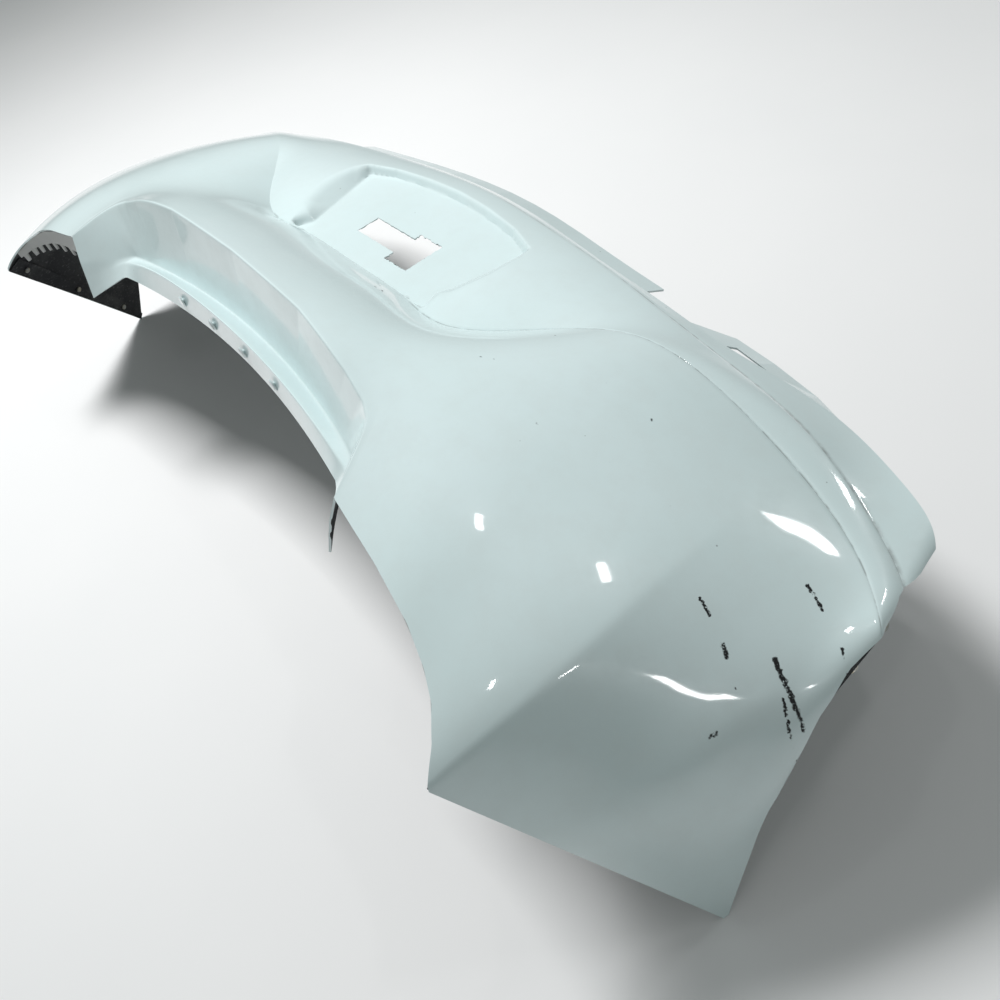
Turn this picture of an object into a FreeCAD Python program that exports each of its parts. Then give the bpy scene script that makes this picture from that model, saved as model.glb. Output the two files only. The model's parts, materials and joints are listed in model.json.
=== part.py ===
import FreeCAD, Part
import os
from math import cos, pi, sin
from FreeCAD import Vector

# Rear bumper cover of a small hatchback, lying face up on its two wing tips.
# X runs across the car (+X is the car's left), Y runs down the cover from the
# tailgate ledge to the lower edge, Z is the way the painted face looks.
# The origin is on the floor, under the middle of the cover.  Millimetres.

UP = Vector(0, 0, 1)
ALONG = Vector(0, 1, 0)

# ---- driving dimensions ------------------------------------------------------
TIP_DROP = 299.187          # height of the lamp corner above the wing tips, as it lies
Y_SHIFT = -326.9          # puts the origin midway between ledge and lower edge
SKIN = 3.0                # wall thickness of the painted moulding
GAP = 0.3                 # air between the skin and what lies behind it
BRACKET = 2.5             # wall thickness of the moulded brackets
BRACKET_REACH = 30.0      # how far a bracket runs in from the edge it backs

# Rails of the face: stations (x, y, z) on the +X half, z from the lamp corner.
UPPER_RAIL = [(190, 184, 188), (330, 142, 160), (440, 66, 94), (560, 50, 76), (650, 16, 36),
              (712, -16, -14), (754, 40, -104), (800, 88, -226), (892, 180, -385)]
BELLY_RAIL = [(170, 290, 141), (300, 275, 142), (415, 262, 136), (520, 255, 120), (625, 240, 90),
              (744, 222, 40), (816, 214, -40), (862, 214, -134), (884, 230, -320)]
FOLD_RAIL = [(125, 374, 70), (247, 370, 71), (360, 436, 74), (466, 498, 72), (600, 509, 35),
             (755, 484, -16), (845, 433, -24), (882, 400, -70), (894, 380, -300)]
PANEL_RAIL = [(150, 492, 82), (275, 478, 80), (390, 502, 70), (500, 529, 54), (632, 528, 22),
              (762, 501, -20), (842, 457, -30), (878, 423, -80), (892, 395, -300)]
CREASE_RAIL = [(150, 598, 57), (300, 585, 51), (420, 569, 45), (540, 560, 27), (665, 546, 4),
               (768, 517, -28), (838, 480, -40), (874, 446, -90), (888, 410, -300)]
EDGE_RAIL = [(150, 611, 47), (290, 594, 45), (400, 589, 34), (510, 588, 16), (640, 605, -22),
             (757, 582, -40), (826, 548, -52), (858, 490, -110), (878, 430, -300)]
MIDDLE = {"upper": (0, 190, 192), "belly": (0, 292, 141), "fold": (0, 375, 70),
          "panel": (0, 500, 83), "crease": (0, 606, 59), "edge": (0, 622, 45)}

# Upper edge as y at each x: ledge, ledge corner, lamp cut-out, wing top.
UPPER_EDGE = [(0, 226), (200, 220), (330, 203), (374, 194), (395, 183), (408, 166), (417, 147),
              (436, 105), (531, 91), (602, 77), (642, 63), (668, 49), (692, 26), (709, 0), (892, 194)]
# Wheel-arch edge as z at each y.
ARCH_EDGE = [(100, -330), (177, -304), (240, -160), (315, -72), (370, -40), (420, -32), (460, -37),
             (500, -50), (560, -58), (620, -60)]
EDGE_COLUMNS = [0, 80, 150, 225, 290, 340, 374, 395, 408, 417, 436, 480, 531, 580, 625, 660, 688,
                709, 735, 765, 800, 832, 856, 876]
RAMP_START = 5.0          # station after which columns close up towards the wheel arch
JOINT_START_X = 709.0     # lamp corner, where the straight joint with the body side starts
JOINT_SLOPE = -1.727      # z per y along that joint

# Tailgate ledge: (x at its end, y and z at the middle, change towards the corner, at the end).
LEDGE_ROWS = [
    {"middle": (200, 69), "corner": (350, 163, 70), "end": (420, 92, 73)},
    {"middle": (172, 92), "corner": (358, 147, 65), "end": (412, 86, 50)},
    {"middle": (166, 52), "corner": (350, 133, 50), "end": (403, 78, 20)},
]
LEDGE_CORNER_X = 417.0
LEDGE_MITRE = [(1.8, -5.4), (2.2, -5.7), (3.0, -0.4)]   # inner side of each row, per SKIN of wall

# Number-plate recess in the lower panel.
RECESS_FLOOR = [(0, 562), (75, 558), (150, 549), (205, 531), (186, 466), (168, 400), (184, 376), (0, 378)]
RECESS_MOUTH = [(0, 592), (80, 587), (165, 569), (248, 540), (264, 466), (250, 400), (240, 364), (0, 362)]
RECESS_FLOOR_Z = 61.0
RECESS_MOUTH_Z = 112.0
PANEL_TOP, PANEL_END = 5, 8          # grid rows at the fold line and at the lower crease
ACCESS_HOLE = [(-78, 428), (24, 428), (24, 412), (80, 412), (80, 477), (24, 477), (24, 466), (-78, 466)]

# Fasteners and brackets.
LEDGE_HOLES_X = (-150, -50, 50, 150)
LEDGE_HOLE_Z = 70.0
LEDGE_HOLE_R = 4.0
CLIP_HEAD_R = 9.0
CLIP_STEM_R = 3.2
LEDGE_RAIL_LAST = 6
SCREW_R = 2.1
SCREW_HEAD_R = 5.0
SCREW_HEAD = 2.6
SCREW_STANDOFF = 1.0      # lets the flat head clear the curved bracket
LAMP_WALL_DEEP = 52.0
LAMP_WALL_SHALLOW = 10.0
LAMP_TEETH = 9
ARCH_NUT_ROWS = (2, 4, 5)
NUT_BORE_R = 2.4
NUT_STANDOFF = 1.6        # lets the flat nut clear the curved bracket
STRIP_LAST = 7
STRIP_LIP = (34, -18)
HOOK_COLUMNS = (11, 15)
HOOK_LIPS = [(18, -24), (42, -28), (38, -26), (26, -22), (12, -14)]
HOOK_SLOT = [(500, 590), (602, 590), (602, 600), (506, 606)]


def spline(stations):
    """Natural cubic through evenly spaced stations, as a function of station number."""
    count = len(stations)
    bends = []
    for axis in range(3):
        values = [point[axis] for point in stations]
        upper = [0.0] * count
        bend = [0.0] * count
        for i in range(1, count - 1):
            weight = 4.0 - upper[i - 1]
            upper[i] = 1.0 / weight
            bend[i] = (6.0 * (values[i + 1] - 2.0 * values[i] + values[i - 1]) - bend[i - 1]) / weight
        for i in range(count - 2, 0, -1):
            bend[i] -= upper[i] * bend[i + 1]
        bends.append(bend)

    def at(v):
        i = min(max(int(v), 0), count - 2)
        b = v - i
        a = 1.0 - b
        point = []
        for axis in range(3):
            low, high = stations[i][axis], stations[i + 1][axis]
            bend = ((a ** 3 - a) * bends[axis][i] + (b ** 3 - b) * bends[axis][i + 1]) / 6.0
            point.append(a * low + b * high + bend)
        return Vector(*point)
    return at


def rail(name, half):
    """Spline over both halves of the cover; station 0 is the middle."""
    left = [(-x, y, z) for x, y, z in reversed(half)]
    curve = spline(left + [MIDDLE[name]] + half)
    return lambda v: curve(v + len(half))


RAILS = [rail("upper", UPPER_RAIL), rail("belly", BELLY_RAIL), rail("fold", FOLD_RAIL),
         rail("panel", PANEL_RAIL), rail("crease", CREASE_RAIL), rail("edge", EDGE_RAIL)]


def between(table, value):
    """Straight-line reading of a table of pairs."""
    for (a, low), (b, high) in zip(table, table[1:]):
        if value <= b:
            return low + (high - low) * (value - a) / (b - a)
    return table[-1][1]


def through(first, middle, last, t):
    """Point at t on the parabola through three points."""
    return (first * (2 * (t - 0.5) * (t - 1)) + middle * (4 * t * (1 - t)) + last * (2 * t * (t - 0.5)))


def raw_face(v, t):
    """The face before trimming: t 0-1 body, 1-2 lower panel, 2-3 lower roll."""
    if t <= 1:
        return through(RAILS[0](v), RAILS[1](v), RAILS[2](v), t)
    if t <= 2:
        return through(RAILS[2](v), RAILS[3](v), RAILS[4](v), t - 1)
    low, high = RAILS[4](v), RAILS[5](v)
    return low + (high - low) * (t - 2)


def bisect(test, low, high):
    """Where test turns from true to false between low and high."""
    for _ in range(30):
        middle = 0.5 * (low + high)
        if test(middle):
            low = middle
        else:
            high = middle
    return low


def arch_station(t):
    """Station at which row t meets the wheel-arch edge."""
    def behind(v):
        point = raw_face(v, t)
        return point.z > between(ARCH_EDGE, point.y)
    return bisect(behind, RAMP_START, len(UPPER_RAIL))


def face(v, t):
    """The face with its last column drawn in to the wheel-arch edge."""
    last = len(UPPER_RAIL)
    if v > RAMP_START:
        v = RAMP_START + (v - RAMP_START) * (arch_station(t) - RAMP_START) / (last - RAMP_START)
    return raw_face(v, t)


def edge_row(v):
    """Row at which column v meets the upper edge."""
    def above(t):
        point = face(v, t)
        return point.y < between(UPPER_EDGE, point.x)
    return bisect(above, 0.0, 0.95)


def joint_lift(edge):
    """How far an edge point is from the straight joint with the body side, along Z."""
    return JOINT_SLOPE * edge.y - edge.z if edge.x > JOINT_START_X else 0.0


def column(edge_x):
    """Points down the face from the upper edge at edge_x to the lower edge."""
    last = float(len(UPPER_RAIL))
    if edge_x == 0:
        v = 0.0
    elif edge_x == EDGE_COLUMNS[-1]:
        v = last
    else:
        v = bisect(lambda v: face(v, edge_row(v)).x < edge_x, 0.0, last)
    start = edge_row(v)
    length = (face(v, 1.0) - face(v, start)).Length
    second = start + (1.0 - start) * BRACKET_REACH / length
    rows = [start] + [second + (1.0 - second) * step / 4.0 for step in range(5)]
    rows += [1.33, 1.67, 2.0, 3.0]
    lift = joint_lift(face(v, start))
    return [face(v, t) + UP * lift * max(0.0, (1.0 - t) / (1.0 - start)) ** 2 for t in rows]


def flip(point):
    return Vector(-point.x, point.y, point.z)


def face_grid():
    half = [column(x) for x in EDGE_COLUMNS]
    return [[flip(p) for p in points] for points in reversed(half[1:])] + half


def outward_normals(grid):
    """Average facet normal at each point of a grid of columns."""
    normals = []
    for i, points in enumerate(grid):
        row = []
        for j in range(len(points)):
            left, right = grid[max(i - 1, 0)][j], grid[min(i + 1, len(grid) - 1)][j]
            low, high = points[max(j - 1, 0)], points[min(j + 1, len(points) - 1)]
            row.append((right - left).cross(high - low).normalize())
        normals.append(row)
    return normals


def sunk(grid, normals, depth):
    """The grid moved inwards along its normals."""
    return [[p - n * depth for p, n in zip(points, row)] for points, row in zip(grid, normals)]


def triangles(a, b, c, d):
    """Two flat faces on four points, mirrored on the -X side, without any that has no area."""
    if a.x + c.x < 0:
        a, b, c, d = b, c, d, a
    faces = []
    for three in ((a, b, c), (a, c, d)):
        if (three[1] - three[0]).cross(three[2] - three[0]).Length > 1e-4:
            faces.append(Part.Face(Part.makePolygon(list(three) + [three[0]])))
    return faces


def rim(columns, rows):
    """Grid positions round the border of a grid, back to the first."""
    border = [(i, 0) for i in range(columns)] + [(columns - 1, j) for j in range(1, rows)]
    border += [(i, rows - 1) for i in range(columns - 2, -1, -1)]
    return border + [(0, j) for j in range(rows - 2, -1, -1)]


def solid_between(*walls):
    """One solid from walls, each a pair of matching grids, open where two walls share a border."""
    faces = []
    borders = {}
    for outer, inner in walls:
        columns, rows = len(outer), len(outer[0])
        for grid in (outer, inner):
            for i in range(columns - 1):
                for j in range(rows - 1):
                    faces += triangles(grid[i][j], grid[i + 1][j], grid[i + 1][j + 1], grid[i][j + 1])
        border = rim(columns, rows)
        for (a, b), (c, d) in zip(border, border[1:]):
            key = frozenset((round(p.x, 3), round(p.y, 3), round(p.z, 3)) for p in (outer[a][b], outer[c][d]))
            borders.setdefault(key, []).append((outer[a][b], outer[c][d], inner[c][d], inner[a][b]))
    for quads in borders.values():
        if len(quads) == 1:
            faces += triangles(*quads[0])
    solid = Part.makeSolid(Part.makeShell(faces))
    if solid.Volume < 0:
        solid.reverse()
    return solid


# ---- pieces --------------------------------------------------------------------
GRID = face_grid()
NORMALS = outward_normals(GRID)
CENTRE = len(GRID) // 2
LAMP_INNER = EDGE_COLUMNS.index(436)
LAMP_OUTER = EDGE_COLUMNS.index(688)
WING_INNER = EDGE_COLUMNS.index(709)
LEDGE_LAST = EDGE_COLUMNS.index(436)
LAST = len(EDGE_COLUMNS) - 1


def part_of(grid, columns, rows):
    return [grid[CENTRE + i][rows[0]:rows[1] + 1] for i in range(columns[0], columns[1] + 1)]


def backing(columns, rows, start, thickness):
    """Wall behind the face, between two depths, over a range of columns and rows."""
    grid, normals = part_of(GRID, columns, rows), part_of(NORMALS, columns, rows)
    return solid_between((sunk(grid, normals, start), sunk(grid, normals, start + thickness)))


def ledge_row(row, edge_point):
    """Point of a ledge row below a point of the face's upper edge."""
    share = min(abs(edge_point.x) / LEDGE_CORNER_X, 1.0)
    corner_x, corner_y, corner_z = row["corner"]
    middle_y, middle_z = row["middle"]
    side = 1.0 if edge_point.x >= 0 else -1.0
    if abs(edge_point.x) > LEDGE_CORNER_X + 1:
        end_x, end_y, end_z = row["end"]
        return Vector(side * end_x, end_y, end_z)
    drop = share ** 2
    return Vector(side * corner_x * share, middle_y + (corner_y - middle_y) * drop,
                  middle_z + (corner_z - middle_z) * share ** 4)


def ledge_grid(depth):
    """The ledge's rows at a depth behind its visible side."""
    columns = []
    for i in range(-LEDGE_LAST, LEDGE_LAST + 1):
        edge = GRID[CENTRE + i][0]
        points = [edge - NORMALS[CENTRE + i][0] * depth]
        for row, (across, down) in zip(LEDGE_ROWS, LEDGE_MITRE):
            points.append(ledge_row(row, edge) + Vector(0, across, down) * (depth / SKIN))
        columns.append(points)
    return columns


def prism(outline, low, high):
    points = [Vector(a, b, low) for a, b in outline]
    return Part.Face(Part.makePolygon(points + points[:1])).extrude(Vector(0, 0, high - low))


def both_halves(outline):
    """Closed outline from points on the +X half that start and end on the middle."""
    return outline + [(-x, y) for x, y in reversed(outline) if x > 0]


def drafted(floor, floor_z, mouth, mouth_z):
    """Solid between a floor outline and a wider mouth outline."""
    wires = []
    for outline, z in ((floor, floor_z), (mouth, mouth_z)):
        points = [Vector(x, y, z) for x, y in both_halves(outline)]
        wires.append(Part.makePolygon(points + points[:1]))
    return Part.makeLoft(wires, True, True)


def grown(outline, by):
    """Outline moved outwards from the recess's own centre."""
    middle_y = 0.5 * (outline[0][1] + outline[-1][1])
    half_y = 0.5 * abs(outline[0][1] - outline[-1][1])
    half_x = max(x for x, y in outline)
    return [(x * (1 + by / half_x), middle_y + (y - middle_y) * (1 + by / half_y)) for x, y in outline]


def cover_skin():
    """The one-piece painted moulding: face, tailgate ledge and number-plate recess."""
    inside = sunk(GRID, NORMALS, SKIN)
    walls = solid_between((GRID, inside), (ledge_grid(0.0), ledge_grid(SKIN)))
    pocket = drafted(RECESS_FLOOR, RECESS_FLOOR_Z, RECESS_MOUTH, RECESS_MOUTH_Z)
    pan = drafted(grown(RECESS_FLOOR, SKIN), RECESS_FLOOR_Z - SKIN, grown(RECESS_MOUTH, SKIN), RECESS_MOUTH_Z)
    panel = part_of(GRID, (-LEDGE_LAST, LEDGE_LAST), (PANEL_TOP, PANEL_END))
    below = [[point - Vector(0, 0, 3 * RECESS_FLOOR_Z / 2) for point in points] for points in panel]
    pan = pan.cut(pocket).common(solid_between((panel, below)))
    skin = walls.cut(pocket).fuse(pan).cut(prism(ACCESS_HOLE, 0, RECESS_MOUTH_Z))
    for x in LEDGE_HOLES_X:
        skin = skin.cut(Part.makeCylinder(LEDGE_HOLE_R, 60, Vector(x, 130, LEDGE_HOLE_Z), ALONG))
    return skin


def facet(column, row, side=1):
    """Middle of one facet of the face and its normal."""
    corners = [(CENTRE + side * (column + i), row + j) for i in (0, 1) for j in (0, 1)]
    middle = sum((GRID[a][b] for a, b in corners), Vector()) * 0.25
    normal = sum((NORMALS[a][b] for a, b in corners), Vector())
    return middle, normal.normalize()


def screw(column, row, side=1):
    """Self-tapping screw through a bracket, biting into the skin, and its clearance hole."""
    point, normal = facet(column, row, side)
    back = SKIN + GAP + BRACKET
    seat = point - normal * (back + SCREW_STANDOFF)
    head = Part.makeCylinder(SCREW_HEAD_R, SCREW_HEAD, seat - normal * SCREW_HEAD, normal)
    shank = Part.makeCylinder(SCREW_R, back + SCREW_STANDOFF - SKIN / 2, seat, normal)
    hole = Part.makeCylinder(SCREW_R + 0.5, 2 * back, point - normal * 2 * back, normal)
    return head.fuse(shank), hole


def fastened(bracket, places, side=1):
    """A bracket with its screw holes, and the screws as separate solids."""
    screws = []
    for column, row in places:
        one, hole = screw(column, row, side)
        bracket = bracket.cut(hole)
        screws.append(one)
    return bracket, Part.makeCompound(screws)


def lamp_bracket():
    """Toothed support along the lamp cut-out: a strip behind the face and a hanging wall."""
    strip = backing((LAMP_INNER, LAMP_OUTER), (0, 1), SKIN + GAP, BRACKET)
    top = [row[0] for row in part_of(sunk(GRID, NORMALS, SKIN + GAP + 0.5), (LAMP_INNER, LAMP_OUTER), (0, 0))]
    steps = len(top) - 1
    depths = [LAMP_WALL_DEEP + (LAMP_WALL_SHALLOW - LAMP_WALL_DEEP) * (i / steps) ** 0.6 for i in range(steps + 1)]
    front = [[p, p + Vector(0, 0.12 * depth, -depth)] for p, depth in zip(top, depths)]
    back = [[p + Vector(0, BRACKET, 0) for p in pair] for pair in front]
    bracket = strip.fuse(solid_between((front, back)))
    foot = [pair[1] for pair in front]
    for tooth in range(LAMP_TEETH):
        place_on = (tooth + 0.5) / LAMP_TEETH * steps
        i = min(int(place_on), steps - 1)
        along = (foot[i + 1] - foot[i]).normalize()
        base = foot[i] + (foot[i + 1] - foot[i]) * (place_on - i)
        corners = [base - along * 6 + UP * 2, base + along * 6 + UP * 2, base + along * 2.5 - UP * 13,
                   base - along * 4.5 - UP * 13]
        outline = Part.makePolygon(corners + corners[:1])
        bracket = bracket.fuse(Part.Face(outline).extrude(ALONG * BRACKET))
    return bracket


def lipped(columns, lips):
    """Strip behind the lower roll with a lip that stands out past the lower edge."""
    walls = []
    for depth in (SKIN + GAP, SKIN + GAP + BRACKET):
        rows = part_of(sunk(GRID, NORMALS, depth), columns, (PANEL_END, PANEL_END + 1))
        walls.append([pair + [pair[1] + Vector(0, *lip)] for pair, lip in zip(rows, lips)])
    return solid_between(tuple(walls))


def ledge_rail():
    """Stiffening channel under the tailgate ledge's front lip."""
    depths = [SKIN + GAP, SKIN + GAP + BRACKET]
    walls = []
    for depth in depths:
        grid = ledge_grid(depth)
        middle = len(grid) // 2
        walls.append([points[1:] for points in grid[middle - LEDGE_RAIL_LAST:middle + LEDGE_RAIL_LAST + 1]])
    rail_solid = solid_between(tuple(walls))
    for x in LEDGE_HOLES_X:
        rail_solid = rail_solid.cut(Part.makeCylinder(LEDGE_HOLE_R, 60, Vector(x, 130, LEDGE_HOLE_Z), ALONG))
    return rail_solid


def wall_y(x):
    """Where the ledge's tail wall stands on the line of its clip holes."""
    grid = ledge_grid(0.0)
    ridge = [points[2] for points in grid]
    tail = [points[3] for points in grid]
    for i in range(len(grid) - 1):
        if ridge[i].x <= x <= ridge[i + 1].x:
            a = ridge[i] + (ridge[i + 1] - ridge[i]) * ((x - ridge[i].x) / (ridge[i + 1].x - ridge[i].x))
            b = tail[i] + (tail[i + 1] - tail[i]) * ((x - tail[i].x) / (tail[i + 1].x - tail[i].x))
            return a.y + (b.y - a.y) * (a.z - LEDGE_HOLE_Z) / (a.z - b.z)
    return tail[0].y


def push_clip(x):
    """Push-in clip through the ledge's tail wall: flanged head and slotted stem."""
    start = wall_y(x)
    head = Part.makeCone(CLIP_HEAD_R - 2, CLIP_HEAD_R, 2, Vector(x, start - 4, LEDGE_HOLE_Z), ALONG)
    stem = Part.makeCylinder(CLIP_STEM_R, 19, Vector(x, start - 2, LEDGE_HOLE_Z), ALONG)
    tip = Part.makeCone(CLIP_STEM_R, CLIP_STEM_R / 2, 5, Vector(x, start + 17, LEDGE_HOLE_Z), ALONG)
    slot = Part.makeBox(1.2, 14, 2 * CLIP_STEM_R, Vector(x - 0.6, start + 9, LEDGE_HOLE_Z - CLIP_STEM_R))
    return head.fuse([stem, tip]).cut(slot)


def arch_nut(row):
    """Speed nut on the back of the arch bracket."""
    point, normal = facet(LAST - 1, row)
    base = point - normal * (SKIN + GAP + BRACKET + NUT_STANDOFF)
    plate = Part.makeCylinder(8, 1.6, base, normal * -1)
    collar = Part.makeCylinder(4.6, 5, base, normal * -1)
    return plate.fuse(collar).cut(Part.makeCylinder(NUT_BORE_R, 12, base + normal * 2, normal * -1))


def save(name, shape):
    placed = shape.copy()
    placed.translate(Vector(0, Y_SHIFT, TIP_DROP))
    placed.exportStep("parts/" + name + ".step")


def save_pair(name, shape):
    """The +X piece and its mirror image."""
    save(name + "_left", shape)
    save(name + "_right", shape.mirror(Vector(0, 0, 0), Vector(1, 0, 0)))


os.makedirs("parts", exist_ok=True)
save("cover_skin", cover_skin())

lamp, lamp_screws = fastened(lamp_bracket(), [(LAMP_INNER + i, 0) for i in (1, 3, 5)])
save_pair("lamp_bracket", lamp)
save_pair("lamp_bracket_screws", lamp_screws)

wing, wing_screws = fastened(backing((WING_INNER, LAST), (0, 1), SKIN + GAP, BRACKET),
                             [(WING_INNER + i, 0) for i in (0, 2, 4)])
save_pair("side_bracket", wing)
save_pair("side_bracket_screws", wing_screws)

arch, arch_screws = fastened(backing((LAST - 1, LAST), (2, PANEL_END), SKIN + GAP, BRACKET),
                             [(LAST - 1, 3), (LAST - 1, 6)])
for row in ARCH_NUT_ROWS:
    nut_point, nut_normal = facet(LAST - 1, row)
    arch = arch.cut(Part.makeCylinder(2.6, 20, nut_point - nut_normal * (SKIN + 0.05), nut_normal * -1))
save_pair("arch_bracket", arch)
save_pair("arch_bracket_screws", arch_screws)
save_pair("arch_speed_nuts", Part.makeCompound([arch_nut(row) for row in ARCH_NUT_ROWS]))

strip_columns = (-STRIP_LAST, STRIP_LAST)
strip, strip_screws = fastened(lipped(strip_columns, [STRIP_LIP] * (2 * STRIP_LAST + 1)),
                               [(i, PANEL_END) for i in (-6, -4, -1, 0, 3, 5)])
save("lower_strip", strip)
save("lower_strip_screws", strip_screws)

hook = lipped(HOOK_COLUMNS, HOOK_LIPS).cut(prism(HOOK_SLOT, -60, 60))
hook, hook_screws = fastened(hook, [(HOOK_COLUMNS[0] + i, PANEL_END) for i in (0, 3)])
save_pair("hook_bracket", hook)
save_pair("hook_bracket_screws", hook_screws)

save("ledge_rail", ledge_rail())
save("ledge_clips", Part.makeCompound([push_clip(x) for x in LEDGE_HOLES_X]))
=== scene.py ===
import json
import random
from math import exp, inf
import bpy
import bmesh
from mathutils import Matrix, Vector


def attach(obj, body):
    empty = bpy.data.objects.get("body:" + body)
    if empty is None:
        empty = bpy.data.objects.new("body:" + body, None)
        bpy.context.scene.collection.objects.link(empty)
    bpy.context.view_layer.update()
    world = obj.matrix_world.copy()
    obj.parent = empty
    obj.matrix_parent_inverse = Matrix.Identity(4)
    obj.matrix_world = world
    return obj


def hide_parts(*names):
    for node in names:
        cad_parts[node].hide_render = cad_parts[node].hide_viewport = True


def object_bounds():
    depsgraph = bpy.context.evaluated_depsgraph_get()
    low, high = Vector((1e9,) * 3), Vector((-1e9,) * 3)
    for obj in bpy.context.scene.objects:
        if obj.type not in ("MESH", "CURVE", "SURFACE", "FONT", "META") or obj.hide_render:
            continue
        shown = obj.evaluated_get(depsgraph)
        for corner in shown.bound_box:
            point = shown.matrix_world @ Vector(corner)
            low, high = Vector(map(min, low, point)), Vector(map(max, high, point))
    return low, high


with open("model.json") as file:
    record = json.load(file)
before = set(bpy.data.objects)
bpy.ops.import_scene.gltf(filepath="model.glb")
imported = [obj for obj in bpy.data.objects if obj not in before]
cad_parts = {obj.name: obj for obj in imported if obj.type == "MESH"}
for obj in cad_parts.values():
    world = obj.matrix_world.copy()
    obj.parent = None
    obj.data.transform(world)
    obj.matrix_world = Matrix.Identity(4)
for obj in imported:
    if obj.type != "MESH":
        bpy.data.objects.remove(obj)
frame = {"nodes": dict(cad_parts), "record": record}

CAD_LOW, CAD_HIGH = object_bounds()

# Rear bumper cover, lying face up.  The face is worked out in millimetres in the
# cover's own frame: X across the car from its middle, Y down the cover and Z out of
# the painted face, both from the lamp corner.  placed() moves a point into the row frame.
MM = 0.001                # metres in a millimetre
TIP_DROP = 299.187        # height of the lamp corner above the wing tips
Y_SHIFT = -326.9          # puts the origin midway between ledge and lower edge
SKIN = 3.0                # wall thickness

# Rails of the face: stations (x, y, z) on the +X half; MIDDLE is station 0 of each.
UPPER_RAIL = [(190, 184, 188), (330, 142, 160), (440, 66, 94), (560, 50, 76), (650, 16, 36),
              (712, -16, -14), (754, 40, -104), (800, 88, -226), (892, 180, -385)]
BELLY_RAIL = [(170, 290, 141), (300, 275, 142), (415, 262, 136), (520, 255, 120), (625, 240, 90),
              (744, 222, 40), (816, 214, -40), (862, 214, -134), (884, 230, -320)]
FOLD_RAIL = [(125, 374, 70), (247, 370, 71), (360, 436, 74), (466, 498, 72), (600, 509, 35),
             (755, 484, -16), (845, 433, -24), (882, 400, -70), (894, 380, -300)]
PANEL_RAIL = [(150, 492, 82), (275, 478, 80), (390, 502, 70), (500, 529, 54), (632, 528, 22),
              (762, 501, -20), (842, 457, -30), (878, 423, -80), (892, 395, -300)]
CREASE_RAIL = [(150, 598, 57), (300, 585, 51), (420, 569, 45), (540, 560, 27), (665, 546, 4),
               (768, 517, -28), (838, 480, -40), (874, 446, -90), (888, 410, -300)]
EDGE_RAIL = [(150, 611, 47), (290, 594, 45), (400, 589, 34), (510, 588, 16), (640, 605, -22),
             (757, 582, -40), (826, 548, -52), (858, 490, -110), (878, 430, -300)]
MIDDLE = {"upper": (0, 190, 192), "belly": (0, 292, 141), "fold": (0, 375, 70),
          "panel": (0, 500, 83), "crease": (0, 606, 59), "edge": (0, 622, 45)}

# Upper edge as y at each x: ledge, ledge corner, lamp cut-out, wing top.
UPPER_EDGE = [(0, 226), (200, 220), (330, 203), (374, 194), (395, 183), (408, 166), (417, 147),
              (436, 105), (531, 91), (602, 77), (642, 63), (668, 49), (692, 26), (709, 0), (892, 194)]
# Wheel-arch edge as z at each y.
ARCH_EDGE = [(100, -330), (177, -304), (240, -160), (315, -72), (370, -40), (420, -32), (460, -37),
             (500, -50), (560, -58), (620, -60)]
RAMP_START = 5.0          # station after which columns close up towards the wheel arch
JOINT_START_X = 709.0     # lamp corner, where the straight joint with the body side starts
JOINT_SLOPE = -1.727      # z per y along that joint

# Tailgate ledge: y and z of its valley, ridge and tail at the middle; points at its corner and end.
LEDGE_ROWS = [
    {"middle": (200, 69), "corner": (350, 163, 70), "end": (420, 92, 73)},
    {"middle": (172, 92), "corner": (358, 147, 65), "end": (412, 86, 50)},
    {"middle": (166, 52), "corner": (350, 133, 50), "end": (403, 78, 20)},
]
LEDGE_CORNER_X = 417.0
LEDGE_END_X = 436.0
LEDGE_FILLET = 5.0        # radius of the face's rounded edge at the ledge
FILLET_LEAST = 0.2        # radius left of it at the ledge's end
FILLET_FADE = 60.0        # radius gained per station away from that end
FILLET_RUN_IN = 1.5       # radii of face, before the edge, that the rounding takes up
VALLEY_RADIUS = 4.0
RIDGE_RADIUS = 3.0
LEDGE_STEPS = [1, 14, 5, 5]   # parts of run-in, edge to valley, valley to ridge, ridge to tail

# Number-plate recess in the lower panel, and the access hole in its floor.
RECESS_FLOOR = [(0, 562), (75, 558), (150, 549), (205, 531), (186, 466), (168, 400), (184, 376), (0, 378)]
RECESS_MOUTH = [(0, 592), (80, 587), (165, 569), (248, 540), (264, 466), (250, 400), (240, 364), (0, 362)]
RECESS_FLOOR_Z = 61.0
RECESS_MOUTH_Z = 112.0
RECESS_BLEND = 7.0        # height over which the recess wall runs out into the face
ACCESS_HOLE = [(-78, 428), (24, 428), (24, 412), (80, 412), (80, 477), (24, 477), (24, 466), (-78, 466)]

# How finely the face is divided.
LAST = len(UPPER_RAIL)
FINE_STATIONS = 2.4       # half width, in stations, of the finely divided middle
FINE_STEPS = 56           # columns per station there
COARSE_STEPS = 22         # columns per station on the corners and wings
BODY_ROWS = 38
PANEL_ROWS = 92
ROLL_SHARES = (0.06, 0.15, 0.3, 0.5, 0.7, 0.88, 1.0)
FILLET_ROWS = 4           # face rows moved down to make room for the ledge's rounded edge
INWARD_ROW = 3            # face row that gives the direction away from the edge
BISECTIONS = 26
EDGE_ROW_LIMIT = 0.95     # row that the upper edge never reaches
CORNER_SHARE = 0.45       # most of a straight that the rounding at one end may take
CLEAR_OF_END = 0.3        # least gap, in columns, between the column at the ledge's end and the next
ARCH_STEPS = 20           # rows per band at which the wheel-arch edge is looked up
SHARP_ANGLE = 0.7         # radians between faces past which an edge is shaded sharp

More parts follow.
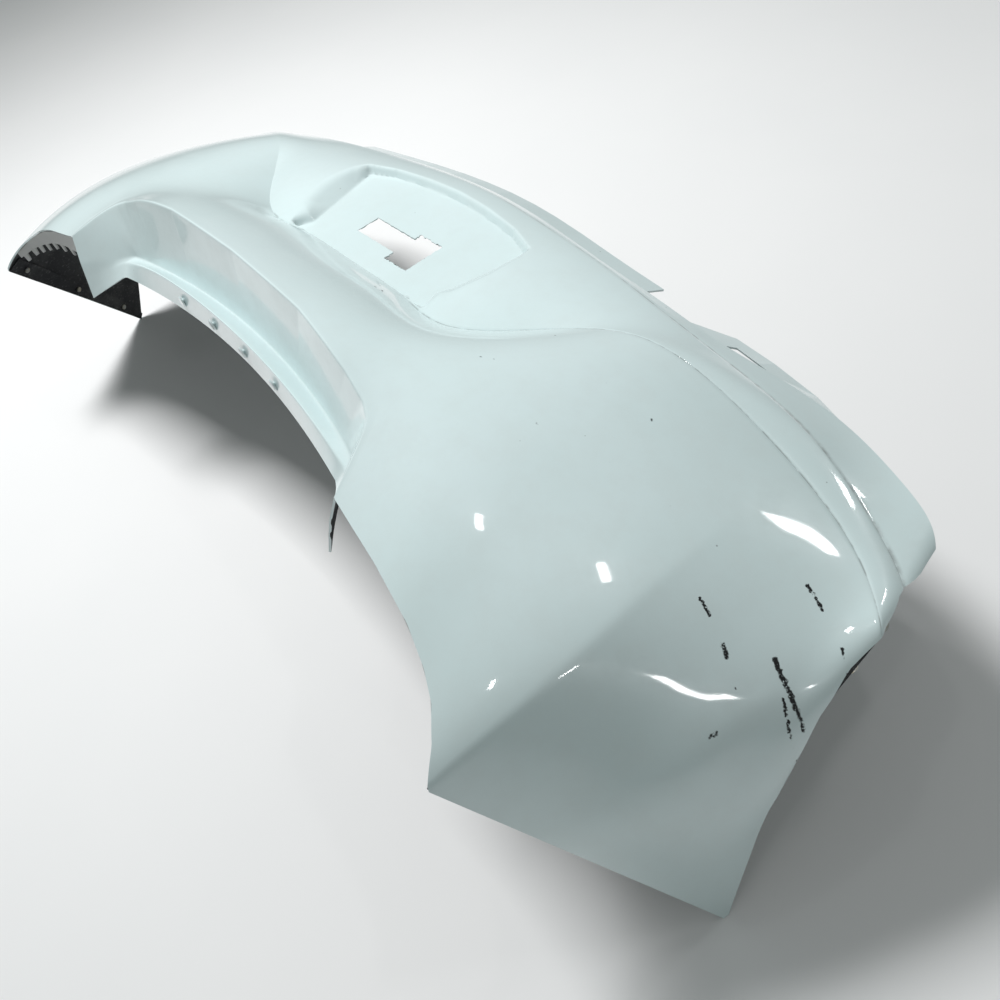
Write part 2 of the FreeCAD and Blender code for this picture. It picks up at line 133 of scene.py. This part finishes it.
# Creases, in millimetres.
CREASE_STEPS = (1.0, 2.5, 6.0)   # distances of the rows beside a crease
CREASE_WIDTH = 1.3
OFF_CREASE = 9.0          # distance given to rows that are clear of a crease
BESIDE_CREASE = 1.0       # distance given to the first row of the lower roll
GROOVE = 0.6              # depth of the groove along a crease
FAR_FOLD_END = 240.0      # on the -X side the creases are soft beyond the plate panel

# Access hole; distances in metres.
HOLE_REACH = 0.125        # distance from the hole's middle within which faces are cut
FLOOR_BAND = 0.002        # height above and below the recess floor within which they are cut
CUT_SNAP = 1e-5           # distance within which a cut goes through an existing corner
HOLE_TEAR = 0.0011        # distance that the torn edge wanders
CLEAN_TEAR = 0.4          # share of it on the cleaner side of the hole
TORN_FROM_X = 0.024       # place across the cover from which the edge is torn
HOLE_SEED = 4


# ---- shape of the face -----------------------------------------------------------
def spline(stations):
    """Natural cubic through evenly spaced stations, as a function of station number."""
    count = len(stations)
    bends = []
    for axis in range(3):
        values = [point[axis] for point in stations]
        upper = [0.0] * count
        bend = [0.0] * count
        for i in range(1, count - 1):
            weight = 4.0 - upper[i - 1]
            upper[i] = 1.0 / weight
            bend[i] = (6.0 * (values[i + 1] - 2.0 * values[i] + values[i - 1]) - bend[i - 1]) / weight
        for i in range(count - 2, 0, -1):
            bend[i] -= upper[i] * bend[i + 1]
        bends.append(bend)

    def at(v):
        i = min(max(int(v), 0), count - 2)
        b = v - i
        a = 1.0 - b
        point = []
        for axis in range(3):
            low, high = stations[i][axis], stations[i + 1][axis]
            bend = ((a ** 3 - a) * bends[axis][i] + (b ** 3 - b) * bends[axis][i + 1]) / 6.0
            point.append(a * low + b * high + bend)
        return Vector(point)
    return at


def rail(name, half):
    """Spline over both halves of the cover; station 0 is the middle."""
    left = [(-x, y, z) for x, y, z in reversed(half)]
    curve = spline(left + [MIDDLE[name]] + half)
    return lambda v: curve(v + len(half))


RAILS = [rail("upper", UPPER_RAIL), rail("belly", BELLY_RAIL), rail("fold", FOLD_RAIL),
         rail("panel", PANEL_RAIL), rail("crease", CREASE_RAIL), rail("edge", EDGE_RAIL)]


def between(table, value):
    """Straight-line reading of a table of pairs."""
    for (a, low), (b, high) in zip(table, table[1:]):
        if value <= b:
            return low + (high - low) * (value - a) / (b - a)
    return table[-1][1]


def through(first, middle, last, t):
    """Point at t on the parabola through three points."""
    return first * (2 * (t - 0.5) * (t - 1)) + middle * (4 * t * (1 - t)) + last * (2 * t * (t - 0.5))


def raw_face(v, t):
    """The face before trimming: t 0-1 body, 1-2 lower panel, 2-3 lower roll."""
    if t <= 1:
        return through(RAILS[0](v), RAILS[1](v), RAILS[2](v), t)
    if t <= 2:
        return through(RAILS[2](v), RAILS[3](v), RAILS[4](v), t - 1)
    return RAILS[4](v).lerp(RAILS[5](v), t - 2)


def bisect(test, low, high):
    """Where test turns from true to false between low and high."""
    for _ in range(BISECTIONS):
        middle = 0.5 * (low + high)
        if test(middle):
            low = middle
        else:
            high = middle
    return low


def arch_station(t):
    """Station at which row t meets the wheel-arch edge."""
    def behind(v):
        point = raw_face(v, t)
        return point.z > between(ARCH_EDGE, point.y)
    return bisect(behind, RAMP_START, LAST)


ARCH_STATIONS = [(i / ARCH_STEPS, arch_station(i / ARCH_STEPS)) for i in range(3 * ARCH_STEPS + 1)]


def half_face(v, t):
    """The face on the +X half with its last column drawn in to the wheel-arch edge."""
    if v > RAMP_START:
        v = RAMP_START + (v - RAMP_START) * (between(ARCH_STATIONS, t) - RAMP_START) / (LAST - RAMP_START)
    return raw_face(v, t)


def edge_row(v):
    """Row at which column v meets the upper edge."""
    def above(t):
        point = half_face(v, t)
        return point.y < between(UPPER_EDGE, point.x)
    return bisect(above, 0.0, EDGE_ROW_LIMIT)


def ledge_points(edge):
    """The ledge's valley, ridge and tail under a point of the face's upper edge."""
    share = min(edge.x / LEDGE_CORNER_X, 1.0)
    past = max(0.0, (edge.x - LEDGE_CORNER_X) / (LEDGE_END_X - LEDGE_CORNER_X))
    points = []
    for row in LEDGE_ROWS:
        corner_x, corner_y, corner_z = row["corner"]
        middle_y, middle_z = row["middle"]
        point = Vector((corner_x * share, middle_y + (corner_y - middle_y) * share ** 2,
                        middle_z + (corner_z - middle_z) * share ** 4))
        points.append(point.lerp(Vector(row["end"]), past))
    return points


def inside(outline, x, y):
    """Whether a point is inside a closed outline."""
    result = False
    for (ax, ay), (bx, by) in zip(outline, outline[1:] + outline[:1]):
        if (ay > y) != (by > y) and x < ax + (bx - ax) * (y - ay) / (by - ay):
            result = not result
    return result


def distance(outline, x, y):
    """Distance from a point to an outline that is open at the middle of the cover."""
    best = inf
    for (ax, ay), (bx, by) in zip(outline, outline[1:]):
        dx, dy = bx - ax, by - ay
        share = min(max(((x - ax) * dx + (y - ay) * dy) / (dx * dx + dy * dy), 0.0), 1.0)
        best = min(best, ((x - ax - dx * share) ** 2 + (y - ay - dy * share) ** 2) ** 0.5)
    return best


def recessed(point):
    """A point of the face, pushed down into the number-plate recess where it lies over it."""
    x = abs(point.x)
    if not inside(RECESS_MOUTH, x, point.y):
        return point
    if inside(RECESS_FLOOR, x, point.y):
        floor = RECESS_FLOOR_Z
    else:
        down = distance(RECESS_MOUTH, x, point.y)
        up = distance(RECESS_FLOOR, x, point.y)
        floor = RECESS_MOUTH_Z + (RECESS_FLOOR_Z - RECESS_MOUTH_Z) * down / (down + up)
    share = min(max(0.5 + 0.5 * (floor - point.z) / RECESS_BLEND, 0.0), 1.0)
    level = floor + (point.z - floor) * share - RECESS_BLEND * share * (1 - share)
    return Vector((point.x, point.y, level))


# ---- the skin as one mesh ----------------------------------------------------------
def rounded(points, radii, steps):
    """A line through points with each inner corner rounded; steps are the parts of each straight."""
    line = []
    start = points[0]
    for k in range(1, len(points)):
        corner = points[k]
        end = corner
        if k < len(points) - 1:
            straight = min((corner - start).length, (points[k + 1] - corner).length)
            radius = min(radii[k], CORNER_SHARE * straight)
            end = corner + (start - corner).normalized() * radius
        line += [start.lerp(end, i / steps[k - 1]) for i in range(steps[k - 1] + 1)]
        if k < len(points) - 1:
            leave = corner + (points[k + 1] - corner).normalized() * radius
            for s in (0.25, 0.5, 0.75):
                line.append(end * (1 - s) ** 2 + corner * (2 * s * (1 - s)) + leave * s * s)
            start = leave
    return line


def joint_lift(edge):
    """How far an edge point is from the straight joint with the body side, along Z."""
    return JOINT_SLOPE * edge.y - edge.z if edge.x > JOINT_START_X else 0.0


def column(v):
    """Points down the face at station v, with the strength of the crease line at each."""
    start = edge_row(v)
    body = (half_face(v, 1.0) - half_face(v, start)).length
    panel = (half_face(v, 2.0) - half_face(v, 1.0)).length
    rows = [(start + (1.0 - start) * (1 - CREASE_STEPS[-1] / body) * i / BODY_ROWS, OFF_CREASE)
            for i in range(BODY_ROWS + 1)]
    rows += [(1.0 - (1.0 - start) * d / body, d) for d in CREASE_STEPS[1::-1]] + [(1.0, 0.0)]
    rows += [(1.0 + d / panel, d) for d in CREASE_STEPS]
    first, last = 1.0 + CREASE_STEPS[-1] / panel, 2.0 - CREASE_STEPS[-1] / panel
    rows += [(first + (last - first) * i / PANEL_ROWS, OFF_CREASE) for i in range(1, PANEL_ROWS)]
    rows += [(2.0 - d / panel, d) for d in CREASE_STEPS[::-1]] + [(2.0, 0.0)]
    rows += [(2.0 + ROLL_SHARES[0], BESIDE_CREASE)]
    rows += [(2.0 + share, OFF_CREASE) for share in ROLL_SHARES[1:]]
    lift = Vector((0, 0, joint_lift(half_face(v, start))))
    return [(half_face(v, t) + lift * max(0.0, (1.0 - t) / (1.0 - start)) ** 2,
             exp(-(d / CREASE_WIDTH) ** 2)) for t, d in rows]


def placed(point, side):
    """A point of the +X half in the row frame, in metres, kept inside the CAD's box."""
    where = Vector((side * point.x, point.y + Y_SHIFT, point.z + TIP_DROP)) * MM
    return Vector([min(max(where[i], CAD_LOW[i]), CAD_HIGH[i]) for i in range(3)])


def stations():
    """Stations of the columns from the middle to the wheel-arch edge, with one at the ledge's end."""
    fine = [i / FINE_STEPS for i in range(int(FINE_STATIONS * FINE_STEPS))]
    count = int((LAST - FINE_STATIONS) * COARSE_STEPS)
    coarse = [FINE_STATIONS + (LAST - FINE_STATIONS) * i / count for i in range(count + 1)]
    end = bisect(lambda v: half_face(v, edge_row(v)).x < LEDGE_END_X, 0.0, LAST)
    coarse = [v for v in coarse if abs(v - end) > CLEAR_OF_END / COARSE_STEPS]
    return sorted(fine + coarse + [end]), end


def half_columns():
    """Face and ledge points of every column of the +X half."""
    places, ledge_end = stations()
    columns = []
    for v in places:
        points = column(v)
        ledge = []
        if v <= ledge_end:
            edge = points[0][0]
            under = ledge_points(edge)
            fillet = max(FILLET_LEAST, min(LEDGE_FILLET, FILLET_FADE * (ledge_end - v)))
            inward = (points[INWARD_ROW][0] - edge).normalized()
            line = rounded([edge + inward * fillet * FILLET_RUN_IN, edge] + under,
                           [0, fillet, VALLEY_RADIUS, RIDGE_RADIUS, 0], LEDGE_STEPS)
            ledge = line[1:]
            for j in range(FILLET_ROWS):
                points[j] = (line[0].lerp(points[FILLET_ROWS][0], j / FILLET_ROWS), 0.0)
        columns.append((points, ledge))
    return columns


def smooth_normals(points):
    """Unit normals of a grid of points, pointing out of the face."""
    normals = []
    for i, line in enumerate(points):
        before, after = points[max(i - 1, 0)], points[min(i + 1, len(points) - 1)]
        row = []
        for j in range(len(line)):
            across = after[j] - before[j]
            down = line[min(j + 1, len(line) - 1)] - line[max(j - 1, 0)]
            row.append(across.cross(down).normalized())
        normals.append(row)
    return normals


def skin_mesh():
    """Outer surface of the cover: both halves, ledge and recess, before it is given thickness."""
    half = half_columns()
    normals = smooth_normals([[point for point, crease in points] for points, ledge in half])
    mesh = bmesh.new()
    crease_layer = mesh.verts.layers.float.new("crease")
    grids = []
    for side in (1, -1):
        grid = []
        for i, (points, ledge) in enumerate(half):
            if side < 0 and i == 0:
                grid.append(grids[0][0])
                continue
            line = []
            for j, (point, crease) in enumerate(points):
                if side < 0 and point.x > FAR_FOLD_END:
                    crease = 0.0
                sunk = point - normals[i][j] * (GROOVE * crease)
                vert = mesh.verts.new(placed(recessed(sunk), side))
                vert[crease_layer] = crease
                line.append(vert)
            under = [mesh.verts.new(placed(point, side)) for point in ledge]
            grid.append((line, [line[0]] + under if under else []))
        grids.append(grid)
    for side, grid in zip((1, -1), grids):
        for (line, under), (next_line, next_under) in zip(grid, grid[1:]):
            strips = [(line, next_line, 1)]
            if next_under:
                strips.append((under, next_under, -1))
            for near, far, way in strips:
                for j in range(len(near) - 1):
                    corners = [near[j], far[j], far[j + 1], near[j + 1]]
                    mesh.faces.new(corners if side * way > 0 else corners[::-1])
    cut_access_hole(mesh)
    return mesh


def cut_access_hole(mesh):
    """Opens the access hole in the recess floor and leaves its edges slightly torn."""
    outline = [placed(Vector((x, y, RECESS_FLOOR_Z)), 1) for x, y in ACCESS_HOLE]
    corners = [(point.x, point.y) for point in outline]
    middle = sum(outline, Vector()) / len(outline)

    def near():
        return [f for f in mesh.faces if (f.calc_center_median() - middle).length < HOLE_REACH
                and abs(f.calc_center_median().z - middle.z) < FLOOR_BAND]

    for start, end in zip(outline, outline[1:] + outline[:1]):
        faces = near()
        edges = dict.fromkeys(e for f in faces for e in f.edges)
        verts = dict.fromkeys(v for f in faces for v in f.verts)
        across = (end - start).cross(Vector((0, 0, 1))).normalized()
        bmesh.ops.bisect_plane(mesh, geom=[*faces, *edges, *verts], plane_co=start, plane_no=across,
                               dist=CUT_SNAP)
    gone = [f for f in near() if inside(corners, f.calc_center_median().x, f.calc_center_median().y)]
    bmesh.ops.delete(mesh, geom=gone, context="FACES")
    pick = random.Random(HOLE_SEED)
    torn = sorted({v for f in near() for v in f.verts if v.is_boundary}, key=lambda v: (v.co.x, v.co.y))
    for vert in torn:
        depth = HOLE_TEAR if vert.co.x > TORN_FROM_X else CLEAN_TEAR * HOLE_TEAR
        vert.co.x += pick.uniform(-1, 1) * depth
        vert.co.y += pick.uniform(-1, 1) * depth


def new_object(name, mesh):
    """A bmesh as an object in the scene."""
    data = bpy.data.meshes.new(name)
    mesh.to_mesh(data)
    mesh.free()
    obj = bpy.data.objects.new(name, data)
    bpy.context.scene.collection.objects.link(obj)
    return obj


def applied(obj):
    """Puts an object's modifiers into its mesh."""
    graph = bpy.context.evaluated_depsgraph_get()
    made = bpy.data.meshes.new_from_object(obj.evaluated_get(graph))
    old = obj.data
    obj.modifiers.clear()
    obj.data = made
    bpy.data.meshes.remove(old)


# ---- materials --------------------------------------------------------------------
class Shader:
    """Short names for making one material's nodes."""

    def __init__(self, name):
        self.material = bpy.data.materials.new(name)
        self.material.use_nodes = True
        self.tree = self.material.node_tree
        self.surface = self.tree.nodes["Principled BSDF"]
        self.place = self.tree.nodes.new("ShaderNodeTexCoord").outputs["Object"]

    def node(self, kind, inputs, output=0, **settings):
        made = self.tree.nodes.new(kind)
        for key, value in settings.items():
            setattr(made, key, value)
        for key, value in inputs.items():
            if isinstance(value, bpy.types.NodeSocket):
                self.tree.links.new(value, made.inputs[key])
            else:
                made.inputs[key].default_value = value
        return made.outputs[output]

    def math(self, operation, a, b, clamp=False):
        return self.node("ShaderNodeMath", {0: a, 1: b}, operation=operation, use_clamp=clamp)

    def vector(self, operation, a, b, output=0):
        return self.node("ShaderNodeVectorMath", {0: a, 1: b}, output, operation=operation)

    def noise(self, scale, detail, where=None, rough=0.55):
        inputs = {"Vector": where or self.place, "Scale": scale, "Detail": detail, "Roughness": rough}
        return self.node("ShaderNodeTexNoise", inputs, "Fac")

    def band(self, value, low, high, start=0.0, end=1.0):
        """Value carried smoothly from low..high to start..end."""
        inputs = {"Value": value, "From Min": low, "From Max": high, "To Min": start, "To Max": end}
        return self.node("ShaderNodeMapRange", inputs, interpolation_type="SMOOTHSTEP")

    def mix(self, share, a, b):
        return self.node("ShaderNodeMix", {0: share, 6: a, 7: b}, 2, data_type="RGBA")

    def bump(self, height, distance, strength):
        inputs = {"Height": height, "Distance": distance, "Strength": strength}
        return self.node("ShaderNodeBump", inputs)

    def attribute(self, name):
        return self.node("ShaderNodeAttribute", {}, "Fac", attribute_name=name)

    def near_line(self, where, a, b, width):
        """1 within width of the line from a to b, falling to 0 just outside it."""
        a, b = Vector(a), Vector(b)
        run = b - a
        from_a = self.vector("SUBTRACT", where, a)
        along = self.vector("DOT_PRODUCT", from_a, run, "Value")
        share = self.math("DIVIDE", along, run.length_squared, clamp=True)
        foot = self.node("ShaderNodeVectorMath", {0: run, "Scale": share}, operation="SCALE")
        gap = self.vector("DISTANCE", from_a, foot, "Value")
        return self.band(gap, width * 0.7, width * 1.3, 1.0, 0.0)

    def most(self, values):
        result = values[0]
        for value in values[1:]:
            result = self.math("MAXIMUM", result, value)
        return result

    def link(self, **inputs):
        for name, value in inputs.items():
            socket = self.surface.inputs[name.replace("_", " ")]
            if isinstance(value, bpy.types.NodeSocket):
                self.tree.links.new(value, socket)
            else:
                socket.default_value = value
        return self.material


def marks_in_metres(points):
    """Points of the cover's own frame in the row frame, in metres."""
    return [Vector((x, y + Y_SHIFT, z + TIP_DROP)) * MM for x, y, z in points]


# Damage and dirt of the paint, and painted shade along its creases: colours, and sizes in metres.
BARE_BLACK = (0.012, 0.013, 0.014, 1)
SPECK_BLACK = (0.06, 0.06, 0.055, 1)
# grey for the creases: painted shade, partly rubbed paint
CREASE_SHADE_AND_RUB_GREY = (0.16, 0.17, 0.165, 1)
FILM_GREY = (0.52, 0.55, 0.53, 1)
CLOUD_SHADE = (0.95, 0.965, 0.96)     # the tint's shares where the paint clouds over
CHIP_LENGTH = 0.001
CHIP_HALF_WIDTH = 0.0016
SCRATCH_WOBBLE = 0.006

# Scratches on the +X wing: lines of points on the face and their half widths in metres.
SCRATCHES = [
    ([(825, 319, -19), (835, 315, -26), (845, 312, -36), (857, 308, -49), (870, 304, -72)], 0.0024),
    ([(849, 302, -42), (864, 292, -65), (874, 287, -102)], 0.0014),
    ([(796, 396, -6), (807, 393, -12), (820, 389, -16)], 0.0018),
    ([(856, 374, -30), (872, 362, -50)], 0.0022),
    ([(753, 301, 29), (768, 298, 20)], 0.0016),
    ([(791, 290, 6), (799, 285, -3)], 0.0024),
    ([(826, 229, -47), (828, 236, -45)], 0.0026),
    ([(829, 201, -71), (829, 203, -70)], 0.0020),
    ([(817, 273, -23), (818, 274, -24)], 0.0022),
]
# Stone chips on the face.
CHIPS = [(400, 330, 123), (414, 338, 121), (406, 426, 91), (581, 409, 75), (523, 308, 112),
         (138, 341, 102), (150, 344, 100)]


def white_paint(name, tint):
    """Gloss white paint: orange peel, dust specks, scratches, and painted shade with rubbed paint in the
    creases.
    """
    shader = Shader(name)
    place = shader.place
    wobble = shader.node("ShaderNodeTexNoise", {"Vector": place, "Scale": 240.0, "Detail": 3.0}, "Color")
    wobble = shader.vector("SUBTRACT", wobble, (0.5, 0.5, 0.5))
    wobble = shader.node("ShaderNodeVectorMath", {0: wobble, "Scale": SCRATCH_WOBBLE}, operation="SCALE")
    torn = shader.vector("ADD", place, wobble)
    lines = []
    for points, width in SCRATCHES:
        points = marks_in_metres(points)
        lines += [shader.near_line(torn, a, b, width) for a, b in zip(points, points[1:])]
    for point in marks_in_metres(CHIPS):
        end = point + Vector((CHIP_LENGTH, 0, 0))
        lines.append(shader.near_line(torn, point, end, CHIP_HALF_WIDTH))
    scratch = shader.most(lines)
    broken = shader.band(shader.noise(420.0, 2.0), 0.30, 0.42)
    scratch = shader.math("MULTIPLY", scratch, broken)
    cells = {"Vector": place, "Scale": 34.0, "Randomness": 1.0}
    cell = shader.node("ShaderNodeTexVoronoi", cells, "Distance")
    rare = shader.band(shader.noise(9.0, 2.0), 0.52, 0.66)
    speck = shader.math("MULTIPLY", shader.band(cell, 0.02, 0.045, 1.0, 0.0), rare)
    # the creases are darkened with painted shade, partly rubbed paint, made patchy by noise
    crease = shader.attribute("crease")
    shade_and_rub_patches = shader.band(shader.noise(60.0, 3.0), 0.40, 0.62, 0.25, 1.0)
    crease_shade_and_rub = shader.math("MULTIPLY", shader.band(crease, 0.25, 0.95), shade_and_rub_patches)
    cloud = shader.band(shader.noise(3.0, 4.0), 0.3, 0.7)
    film = shader.band(shader.noise(26.0, 5.0, rough=0.7), 0.35, 0.75)
    shaded = [level * shade for level, shade in zip(tint, CLOUD_SHADE)]
    colour = shader.mix(cloud, (*tint, 1), (*shaded, 1))
    colour = shader.mix(shader.math("MULTIPLY", film, 0.12), colour, FILM_GREY)
    # greys the creases with painted shade and rubbed paint
    colour = shader.mix(shader.math("MULTIPLY", crease_shade_and_rub, 0.55), colour, CREASE_SHADE_AND_RUB_GREY)
    colour = shader.mix(shader.math("MULTIPLY", speck, 0.85), colour, SPECK_BLACK)
    colour = shader.mix(scratch, colour, BARE_BLACK)
    peel = shader.noise(420.0, 2.0)
    height = shader.math("SUBTRACT", shader.math("MULTIPLY", peel, 0.06), scratch)
    rough = shader.band(film, 0.0, 1.0, 0.28, 0.4)
    rough = shader.math("ADD", rough, shader.math("MULTIPLY", scratch, 0.4))
    coat = shader.math("SUBTRACT", 1.0, scratch, clamp=True)
    return shader.link(Base_Color=colour, Roughness=rough, Normal=shader.bump(height, 0.0006, 0.5),
                       Coat_Weight=coat, Coat_Roughness=0.05, Specular_IOR_Level=0.5)


def moulded(name, colour, light, grain, rough):
    """Bare moulded plastic with a fine grain, scuffs and a little dust."""
    shader = Shader(name)
    fine = shader.noise(grain, 4.0)
    dust = shader.band(shader.noise(14.0, 5.0, rough=0.65), 0.45, 0.75)
    scuff_place = shader.node("ShaderNodeMapping", {"Vector": shader.place, "Scale": (1.0, 6.0, 14.0)})
    scuff = shader.band(shader.noise(30.0, 4.0, where=scuff_place), 0.58, 0.7)
    tone = shader.mix(fine, (*colour, 1), (*light, 1))
    tone = shader.mix(shader.math("MULTIPLY", dust, 0.18), tone, (0.34, 0.34, 0.32, 1))
    tone = shader.mix(shader.math("MULTIPLY", scuff, 0.22), tone, (0.42, 0.43, 0.42, 1))
    roughness = shader.band(fine, 0.3, 0.7, rough - 0.08, rough + 0.08)
    return shader.link(Base_Color=tone, Roughness=roughness, Normal=shader.bump(fine, 0.0004, 0.6),
                       Specular_IOR_Level=0.4)


def zinc_steel():
    """Zinc-plated fastener steel with a yellow passivate bloom."""
    shader = Shader("zinc_steel")
    grain = shader.noise(900.0, 3.0)
    bloom = shader.band(shader.noise(160.0, 3.0), 0.4, 0.65)
    tone = shader.mix(bloom, (0.60, 0.60, 0.58, 1), (0.62, 0.55, 0.40, 1))
    rough = shader.band(grain, 0.3, 0.7, 0.28, 0.46)
    normal = shader.bump(grain, 0.0002, 0.4)
    return shader.link(Base_Color=tone, Metallic=1.0, Roughness=rough, Normal=normal)


PAINT = white_paint("white_paint", (0.66, 0.775, 0.785))
GREY = moulded("grey_plastic", (0.33, 0.34, 0.335), (0.40, 0.41, 0.40), 900.0, 0.5)
DARK = moulded("dark_plastic", (0.010, 0.011, 0.013), (0.018, 0.019, 0.022), 700.0, 0.62)
STEEL = zinc_steel()
FINISHES = {"white_paint": PAINT, "grey_plastic": GREY, "dark_plastic": DARK, "zinc_steel": STEEL}
PAINTED_OVER = ("ledge_clips",)       # nodes that wear the cover's paint over their own plastic


# ---- pieces -----------------------------------------------------------------------
def build_skin():
    """The painted moulding: outer surface with the wall's thickness, painted outside and bare inside."""
    skin = new_object("cover_skin_visual", skin_mesh())
    skin.data.materials.append(PAINT)
    skin.data.materials.append(DARK)
    wall = skin.modifiers.new("wall", "SOLIDIFY")
    wall.thickness = SKIN * MM
    wall.offset = -1.0
    wall.thickness_clamp = 1.0
    wall.material_offset = 1
    applied(skin)
    skin.data.shade_smooth()
    skin.data.set_sharp_from_angle(angle=SHARP_ANGLE)
    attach(skin, "root")
    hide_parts("cover_skin")


def finish_cad_nodes():
    """Gives each carried CAD node the finish of its slot in the record, or paint over it."""
    for part in frame["record"]["subparts"]:
        obj = frame["nodes"][part["node"]]
        finish = PAINT if part["node"] in PAINTED_OVER else FINISHES[part["material_slot"]]
        if obj.data.materials:
            for i in range(len(obj.data.materials)):
                obj.data.materials[i] = finish
        else:
            obj.data.materials.append(finish)


# ---- stage ------------------------------------------------------------------------
FLOOR_REACH = 12.0
FLOOR_TONES = ((0.80, 0.805, 0.81, 1), (0.85, 0.85, 0.85, 1))


def build_floor():
    mesh = bmesh.new()
    bmesh.ops.create_grid(mesh, x_segments=2, y_segments=2, size=FLOOR_REACH)
    floor = new_object("floor", mesh)
    shader = Shader("pale_floor")
    tone = shader.mix(shader.noise(2.0, 3.0), *FLOOR_TONES)
    floor.data.materials.append(shader.link(Base_Color=tone, Roughness=0.9))


def add_light(name, where, target, size, power):
    data = bpy.data.lights.new(name, "AREA")
    data.shape = "RECTANGLE"
    data.size, data.size_y = size
    data.energy = power
    light = bpy.data.objects.new(name, data)
    light.location = where
    light.rotation_euler = (Vector(target) - Vector(where)).to_track_quat("-Z", "Y").to_euler()
    bpy.context.scene.collection.objects.link(light)
    return light


WORLD_COLOUR = (0.92, 1.0, 0.98, 1)
WORLD_STRENGTH = 0.23
KEY_AT = (-1.3, -0.1, 3.0)
KEY_TARGET = (0.0, 0.1, 0.3)
KEY_SIZE = (0.9, 0.9)
KEY_POWER = 104.0
# Small lamps that give the gloss its glints: name, place, size in metres and watts.
GLINT_TARGET = (0.6, -0.1, 0.3)
GLINTS = [
    ("glint_top", (1.0, 0.9, 2.7), (0.26, 0.10), 2.2),
    ("glint_side", (2.95, -0.25, 1.6), (0.22, 0.08), 1.6),
    ("glint_low", (0.95, 2.4, 1.5), (0.12, 0.30), 2.4),
    ("glint_corner", (1.45, -0.97, 2.72), (0.08, 0.16), 1.2),
    ("glint_crown", (0.23, 0.27, 2.95), (0.08, 0.16), 1.2),
]


def build_lights():
    world = bpy.data.worlds.new("studio")
    world.use_nodes = True
    background = world.node_tree.nodes["Background"]
    background.inputs["Color"].default_value = WORLD_COLOUR
    background.inputs["Strength"].default_value = WORLD_STRENGTH
    bpy.context.scene.world = world
    key = add_light("key", KEY_AT, KEY_TARGET, KEY_SIZE, KEY_POWER)
    key.visible_glossy = False
    for name, where, size, power in GLINTS:
        add_light(name, where, GLINT_TARGET, size, power)


CAMERA_AT = Vector((1.2072, -0.3740, 1.0931))
CAMERA_RIGHT = Vector((0.5873, 0.7728, -0.2406))
CAMERA_UP = Vector((-0.4799, 0.5719, 0.6653))
LENS = 36.0
SENSOR = 36.0
NEAREST = 0.01
FARTHEST = 60.0


def build_camera():
    """Camera at CAMERA_AT, turned so that its own right and up lie along the two directions."""
    turn = Matrix((CAMERA_RIGHT, CAMERA_UP, CAMERA_RIGHT.cross(CAMERA_UP))).transposed().to_4x4()
    data = bpy.data.cameras.new("camera")
    data.lens = LENS
    data.sensor_width = SENSOR
    data.clip_start = NEAREST
    data.clip_end = FARTHEST
    camera = bpy.data.objects.new("camera", data)
    camera.matrix_world = Matrix.Translation(CAMERA_AT) @ turn
    bpy.context.scene.collection.objects.link(camera)
    bpy.context.scene.camera = camera


build_skin()
finish_cad_nodes()
build_floor()
build_lights()
build_camera()
bpy.context.scene.view_settings.view_transform = "Standard"
